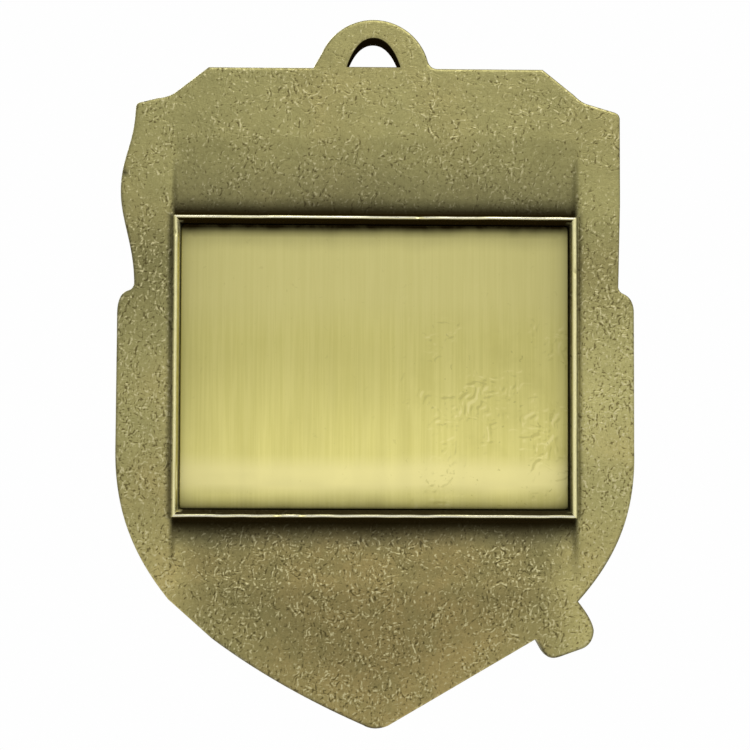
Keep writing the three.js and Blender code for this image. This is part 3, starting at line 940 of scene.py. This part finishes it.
class Nodes:
    """A material with short ways to add and join nodes. Noise scales are in cells per metre."""

    def __init__(self, name):
        self.material = bpy.data.materials.new(name)
        self.material.use_nodes = True
        self.tree = self.material.node_tree
        self.shader = self.tree.nodes["Principled BSDF"]
        self.place = self.tree.nodes.new("ShaderNodeTexCoord").outputs["Object"]

    def add(self, kind, settings=None, **inputs):
        node = self.tree.nodes.new(kind)
        for key, value in (settings or {}).items():
            setattr(node, key, value)
        for key, value in inputs.items():
            self.set(node, key, value)
        return node

    def set(self, node, key, value):
        socket = node.inputs[key]
        if isinstance(value, bpy.types.Node):
            value = value.outputs[0]
        if isinstance(value, bpy.types.NodeSocket):
            self.tree.links.new(value, socket)
        else:
            socket.default_value = value

    def math(self, operation, a, b=0.0, c=0.0):
        node = self.add("ShaderNodeMath", {"operation": operation})
        for i, value in enumerate((a, b, c)):
            self.set(node, i, value)
        return node

    def noise(self, scale, detail=2.0, roughness=0.5, distortion=0.0, vector=None):
        return self.add(
            "ShaderNodeTexNoise", Vector=vector or self.place, Scale=scale, Detail=detail,
            Roughness=roughness, Distortion=distortion,
        )

    def emboss(self, scale, curl, towards):
        """Curled bumps as if lit from one side in X and Z: above 0 on the lit flank, below 0 on the
        flank behind.
        """
        flanks = []
        for way in (-1, 1):
            shifted = self.add("ShaderNodeVectorMath", {"operation": "ADD"})
            self.set(shifted, 0, self.place)
            self.set(shifted, 1, (way * towards[0], 0.0, way * towards[1]))
            flanks.append(self.noise(scale, 2.0, 0.5, curl, shifted.outputs[0]))
        return self.math("SUBTRACT", *flanks)

    def stretched(self, x, y, z):
        return self.add("ShaderNodeMapping", Vector=self.place, Scale=(x, y, z)).outputs[0]

    def attribute(self, name):
        return self.add("ShaderNodeAttribute", {"attribute_name": name}).outputs["Fac"]

    def shade(self, name):
        return self.add("ShaderNodeAttribute", {"attribute_name": name}).outputs["Color"]

    def multiply(self, a, b):
        node = self.add("ShaderNodeMix", {"data_type": "RGBA", "blend_type": "MULTIPLY"})
        for i, item in zip(MIX_INPUTS, (1.0, a, b)):
            self.set(node, i, item)
        return node.outputs[MIX_RESULT]

    def range(self, value, from_low, from_high, low=0.0, high=1.0):
        node = self.add("ShaderNodeMapRange", {"interpolation_type": "SMOOTHSTEP"})
        for i, item in enumerate((value, from_low, from_high, low, high)):
            self.set(node, i, item)
        return node

    def blend(self, factor, a, b):
        node = self.add("ShaderNodeMix", {"data_type": "RGBA"})
        for i, item in zip(MIX_INPUTS, (factor, a, b)):
            self.set(node, i, item)
        return node.outputs[MIX_RESULT]


def casting_material():
    """Antique gold over a crinkled, sand-textured casting."""
    n = Nodes("antique_gold_casting")
    patina_and_shade, polish_and_highlight, warmth = n.attribute("patina_and_shade"), n.attribute("polish_and_highlight"), n.attribute("warmth")

    # Crinkles: short curled bumps, as a real bump and in colour as a painted highlight on one flank
    # and painted shade on the other.
    patches = n.range(n.noise(250, 3.0, 0.65), 0.38, 0.6, 0.68, 1.04)
    calm = n.math("SUBTRACT", 1.0, n.math("MULTIPLY", n.math("MINIMUM", polish_and_highlight, 1.0), 0.8))
    strength = n.math("MULTIPLY", patches, n.math("MULTIPLY", n.attribute("crinkling"), calm))
    fine = n.emboss(1450, 1.3, (-0.00005, 0.00005))
    coarse = n.emboss(950, 1.5, (0.00007, 0.00004))
    relief = n.math("ADD", fine, coarse)
    crinkle = n.math("MULTIPLY", relief, strength)
    grain = n.noise(2300, 2.0, 0.65)
    height = n.math("MULTIPLY_ADD", crinkle, 1.6, n.math("MULTIPLY", grain, 0.4))
    height = n.math("MULTIPLY_ADD", n.noise(850, 2.0, 0.5), 0.7, height)
    bump = n.add("ShaderNodeBump", Strength=0.6, Distance=0.00004, Height=height)

    # Colour: olive, browner where warm, darker in the fine grain, with the crinkles' painted
    # highlight and painted shade.
    drift = n.math("MULTIPLY_ADD", warmth, 0.55, n.math("MULTIPLY", n.noise(75, 2.0, 0.5), 0.5))
    base = n.blend(n.range(drift, 0.25, 0.8), OLIVE, WARM_OLIVE)
    base = n.blend(n.range(n.noise(420, 3.0, 0.65), 0.36, 0.7, 0.0, 0.4), base, DULL_GREEN)
    base = n.blend(n.range(grain, 0.35, 0.7, 0.0, 0.2), base, GRAIN_DARK_AND_SHADE)
    # Painted shade on the crinkles' flanks away from the light.
    base = n.blend(n.range(crinkle, -0.05, -0.22, 0.0, 0.85), base, GRAIN_DARK_AND_SHADE)
    # Painted light and shade over the back.
    base = n.multiply(base, n.shade("painted_light_tone"))
    # Painted highlight on the crinkles' lit flanks.
    base = n.blend(n.range(crinkle, 0.05, 0.24, 0.0, 0.85), base, RIDGE_HIGHLIGHT)
    # Rubbed high points on the front and a painted highlight along the back's rim; past 1, a painted
    # white glint.
    base = n.blend(polish_and_highlight, base, RUBBED_AND_HIGHLIGHT)
    base = n.blend(n.range(polish_and_highlight, 1.0, 1.6), base, WHITE_GLINT)
    # Dark patina together with painted shade and shadow.
    base = n.blend(patina_and_shade, base, PATINA_AND_SHADE_COLOUR)
    n.set(n.shader, "Base Color", base)
    n.set(n.shader, "Metallic", n.math("SUBTRACT", 1.0, patina_and_shade))
    n.set(n.shader, "Specular IOR Level", n.math("MULTIPLY_ADD", patina_and_shade, -0.5, 0.5))
    worn = n.math("SUBTRACT", n.range(grain, 0.3, 0.7, 0.42, 0.54), n.math("MULTIPLY", polish_and_highlight, 0.12))
    n.set(n.shader, "Roughness", n.math("MULTIPLY_ADD", patina_and_shade, 0.3, worn))
    n.set(n.shader, "Normal", bump)
    return n.material


def plate_material():
    """Satin brass, brushed along its height, lightly dented in colour only as painted highlight and
    shade, and darkened along its edges by tarnish and painted shade.
    """
    n = Nodes("brushed_brass_plate")
    patina_and_shade, wear = n.attribute("patina_and_shade"), n.attribute("wear")
    streaks = n.noise(1.0, 3.0, 0.6, vector=n.stretched(3800, 3800, 90))
    broad = n.noise(1.0, 2.0, 0.5, vector=n.stretched(420, 420, 45))
    patches = n.math("MULTIPLY", n.range(n.noise(200, 2.0), 0.38, 0.55), wear)
    dents = n.math("MULTIPLY", n.emboss(640, 1.4, (-0.0001, 0.0001)), patches)
    grain = n.math("MULTIPLY_ADD", broad, 0.25, n.math("MULTIPLY", streaks, 0.6))
    bump = n.add("ShaderNodeBump", Strength=0.14, Distance=0.000008, Height=grain)

    base = n.blend(n.range(streaks, 0.35, 0.65), BRASS, BRASS_LIGHT)
    dull = n.math("MULTIPLY", n.range(broad, 0.42, 0.7, 0.0, 0.2), n.range(wear, 0.3, 1.0, 1.0, 0.3))
    base = n.blend(dull, base, BRASS_DULL)
    blotches = n.math("MULTIPLY", n.range(n.noise(260, 3.0, 0.6), 0.45, 0.7, 0.0, 0.3), wear)
    base = n.blend(blotches, base, BRASS_DULL)
    # Painted highlight along the plate's bottom and a little at the top.
    base = n.blend(n.attribute("painted_highlight"), base, BRASS_HIGHLIGHT)
    # Dents in colour only: a painted highlight on one flank and painted shade on the other.
    base = n.blend(n.range(dents, 0.03, 0.18, 0.0, 0.8), base, BRASS_HIGHLIGHT)
    base = n.blend(n.range(dents, -0.03, -0.18, 0.0, 0.4), base, BRASS_PIT_AND_SHADE)
    pits = n.range(n.noise(1700, 1.0, 0.5, 0.8), 0.7, 0.78, 0.0, 0.6)
    base = n.blend(n.math("MULTIPLY", pits, wear), base, BRASS_PIT_AND_SHADE)
    # Painted light and shade over the plate.
    base = n.multiply(base, n.shade("painted_light_tone"))
    # Tarnish with painted shade along the rim.
    cloud = n.math("MULTIPLY", n.range(n.noise(700, 3.0, 0.65), 0.3, 0.7, 0.98, 1.02), patina_and_shade)
    base = n.blend(n.math("MINIMUM", cloud, 1.0), base, TARNISH_AND_SHADE)
    n.set(n.shader, "Base Color", base)
    n.shader.inputs["Metallic"].default_value = 1.0
    n.set(n.shader, "Roughness", n.range(broad, 0.3, 0.7, 0.28, 0.305))
    n.shader.inputs["Anisotropic"].default_value = 0.8
    tangent = n.add("ShaderNodeTangent", {"direction_type": "UV_MAP", "uv_map": "brushing"})
    n.set(n.shader, "Tangent", tangent)
    n.set(n.shader, "Normal", bump)
    return n.material


def film_material():
    """Milky double-sided film with faint bubbles."""
    n = Nodes("adhesive_film")
    bubbles = n.range(n.noise(380, 2.0, 0.5), 0.55, 0.7)
    base = n.blend(bubbles, FILM, FILM_PALE)
    base = n.blend(n.attribute("edge"), base, FILM_EDGE)
    n.set(n.shader, "Base Color", base)
    n.set(n.shader, "Roughness", n.range(n.noise(900, 2.0), 0.3, 0.7, 0.35, 0.55))
    bump = n.add("ShaderNodeBump", Strength=0.3, Distance=0.00002, Height=bubbles)
    n.set(n.shader, "Normal", bump)
    return n.material


# ---------------------------------------------------------------- studio

def add_floor():
    """A plain pale floor well below the hanging medal."""
    bpy.ops.mesh.primitive_circle_add(
        vertices=96, radius=1.2, fill_type="NGON", location=(0, 0, -0.3)
    )
    floor = bpy.context.object
    floor.name = "floor"
    n = Nodes("pale_floor")
    n.shader.inputs["Base Color"].default_value = FLOOR
    n.shader.inputs["Roughness"].default_value = 0.8
    floor.data.materials.append(n.material)


def add_world():
    """Even grey light, behind which the camera sees white."""
    world = bpy.data.worlds.new("studio")
    bpy.context.scene.world = world
    world.use_nodes = True
    tree = world.node_tree
    seen = tree.nodes.new("ShaderNodeLightPath").outputs["Is Camera Ray"]
    mix = tree.nodes.new("ShaderNodeMix")
    mix.data_type = "RGBA"
    factor, lighting, backdrop = (mix.inputs[i] for i in MIX_INPUTS)
    lighting.default_value = (0.6, 0.6, 0.6, 1)
    backdrop.default_value = (0.992, 0.992, 0.992, 1)
    tree.links.new(seen, factor)
    tree.links.new(mix.outputs[MIX_RESULT], tree.nodes["Background"].inputs["Color"])


def add_area(name, place, size, power, tint=(1, 1, 1)):
    light = bpy.data.lights.new(name, "AREA")
    light.shape = "RECTANGLE"
    light.size, light.size_y = size
    light.energy = power
    light.color = tint
    lamp = bpy.data.objects.new(name, light)
    lamp.location = place
    aim = Vector((0, 0, FRAME_Z * MM)) - lamp.location
    lamp.rotation_euler = aim.to_track_quat("-Z", "Y").to_euler()
    bpy.context.scene.collection.objects.link(lamp)


def add_lights():
    add_area("overhead", (0.14, -0.35, 0.42), (0.5, 0.4), 2.4)
    add_area("strip", (0.0, -0.62, -0.048), (0.8, 0.03), 0.12, (1.0, 0.97, 0.9))
    add_area("front_side", (-0.2, 0.5, 0.3), (0.5, 0.4), 4.0)


def add_camera():
    """Close to the back, a little low and to the left."""
    azimuth, elevation, roll = math.radians(-1.3), math.radians(-2.6), math.radians(0.2)
    distance, pixels_per_mm, frame_pixels = 184.0, 9.8, 750
    data = bpy.data.cameras.new("camera")
    data.sensor_width = 36.0
    data.lens = data.sensor_width * distance * pixels_per_mm / frame_pixels
    data.clip_start, data.clip_end = 0.01, 20
    back = Vector((
        math.sin(azimuth) * math.cos(elevation),
        -math.cos(azimuth) * math.cos(elevation),
        math.sin(elevation),
    ))
    target = Vector((0, -1.9, -34.74)) * MM
    right = (-back).cross(Vector((0, 0, 1))).normalized()
    up = right.cross(-back)
    turn_right = right * math.cos(roll) + up * math.sin(roll)
    turn_up = up * math.cos(roll) - right * math.sin(roll)
    camera = bpy.data.objects.new("camera", data)
    axes = Matrix((turn_right, turn_up, back)).transposed()
    camera.matrix_world = Matrix.Translation(target + back * distance * MM) @ axes.to_4x4()
    bpy.context.scene.collection.objects.link(camera)
    bpy.context.scene.camera = camera


def main():
    bpy.context.scene.view_settings.view_transform = "Standard"
    add_camera()
    add_world()
    add_floor()
    add_lights()
    add_piece(casting_mesh(), casting_material(), "medal", "medal_casting")
    add_piece(plate_mesh(), plate_material(), "plate", "engraving_plate")
    add_piece(film_mesh(), film_material(), "plate", "adhesive_film")


main()
